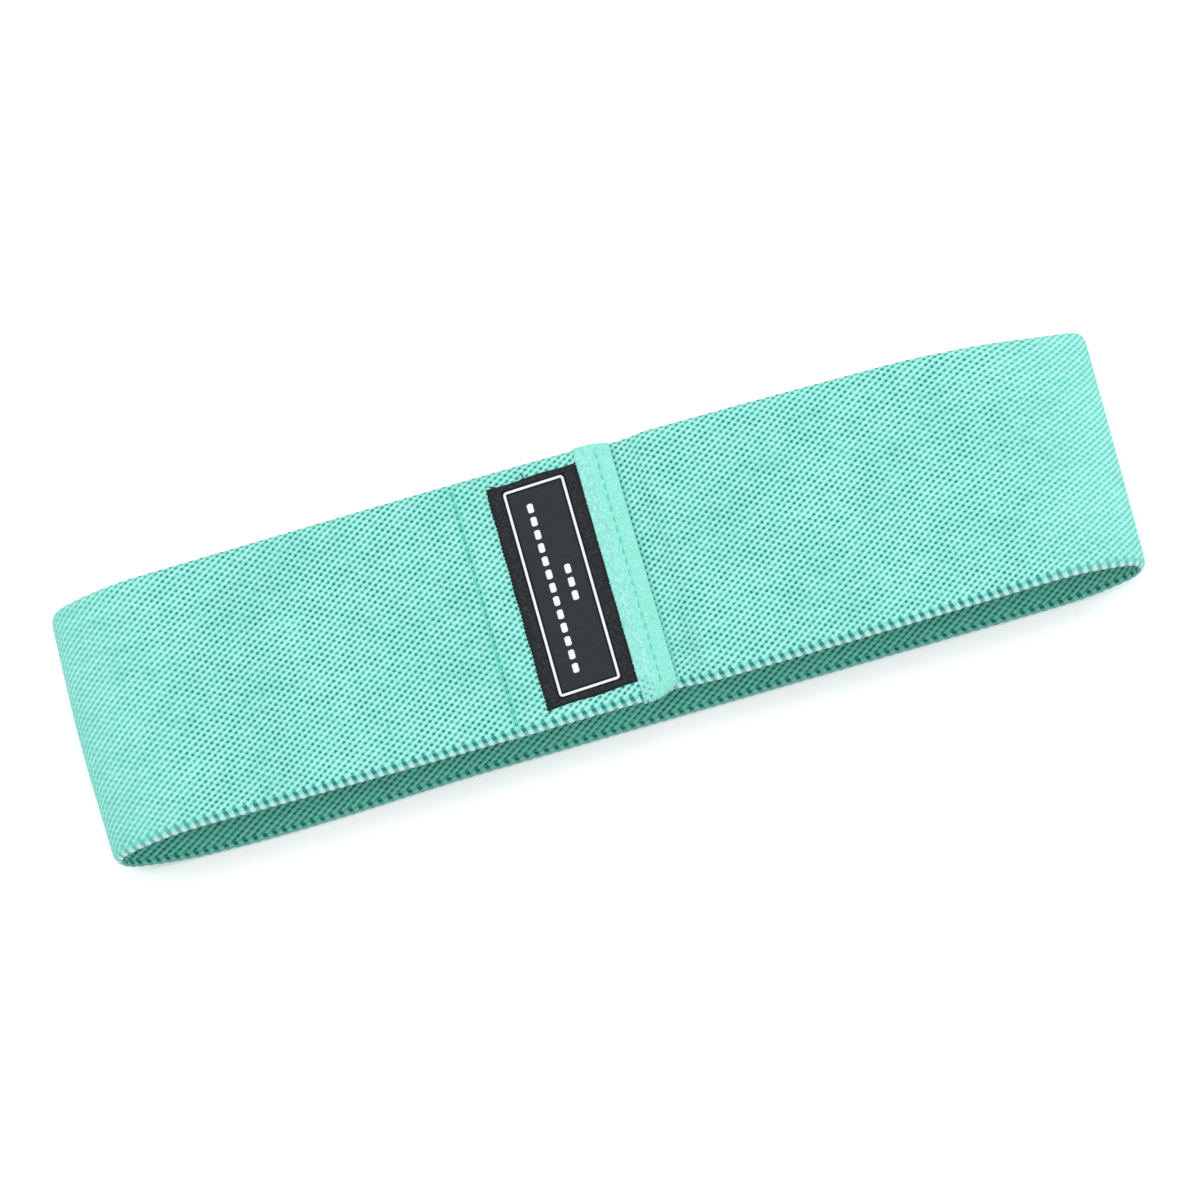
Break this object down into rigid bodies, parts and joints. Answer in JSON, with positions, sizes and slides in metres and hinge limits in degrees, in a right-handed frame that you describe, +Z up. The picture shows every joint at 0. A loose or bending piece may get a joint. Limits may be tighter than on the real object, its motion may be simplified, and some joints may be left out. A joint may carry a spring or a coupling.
{
  "type": "fabric loop resistance band",
  "caption": "Closed loop of wide woven elastic webbing, lapped and sewn at the front under a plain label, lying flat on its back.",
  "frame": {"origin": "centre of the flat underside, where the loop's lower layer lies on the surface", "axes": "+X along the flattened loop, the label's lapped end pointing to +X; +Y across the webbing; +Z up, out of the labelled face"},
  "size_m": [0.3182, 0.08, 0.0308],
  "materials": {
    "woven_yarn": "knobbly woven elastic, slight sheen",
    "rubber_thread": "matt natural rubber",
    "edge_yarn": "pale flecked selvedge yarn",
    "smooth_tape": "fine smooth tape",
    "sewing_thread": "twisted sewing thread",
    "label_cloth": "dense black woven label",
    "label_weave": "raised white weave",
    "label_thread": "black sewing thread"
  },
  "bodies": {
    "middle": {"middle_outer_cloth": "woven_yarn", "middle_inner_cloth": "woven_yarn", "middle_rubber_threads": "rubber_thread", "middle_near_edge": "edge_yarn", "middle_far_edge": "edge_yarn", "end_tape": "smooth_tape", "inner_end_tape": "smooth_tape", "end_seam": "sewing_thread", "inner_seam": "sewing_thread", "label": "label_cloth", "label_border": "label_weave", "label_seam": "label_thread"},
    "left_half": {"left_outer_cloth": "woven_yarn", "left_inner_cloth": "woven_yarn", "left_rubber_threads": "rubber_thread", "left_near_edge": "edge_yarn", "left_far_edge": "edge_yarn"},
    "right_half": {"right_outer_cloth": "woven_yarn", "right_inner_cloth": "woven_yarn", "right_rubber_threads": "rubber_thread", "right_near_edge": "edge_yarn", "right_far_edge": "edge_yarn"}
  },
  "joints": [
    {"name": "left_stretch", "type": "slide", "parent": "middle", "child": "left_half", "axis": [-1, 0, 0], "range_m": [0, 0.08], "stiffness_N_per_m": 750, "deforming": ["left_outer_cloth", "left_inner_cloth", "left_rubber_threads", "left_near_edge", "left_far_edge"]},
    {"name": "right_stretch", "type": "slide", "parent": "middle", "child": "right_half", "axis": [1, 0, 0], "range_m": [0, 0.08], "stiffness_N_per_m": 750, "deforming": ["right_outer_cloth", "right_inner_cloth", "right_rubber_threads", "right_near_edge", "right_far_edge"]}
  ],
  "couplings": [
    {"joint": "right_stretch", "follows": "left_stretch", "ratio": 1}
  ]
}
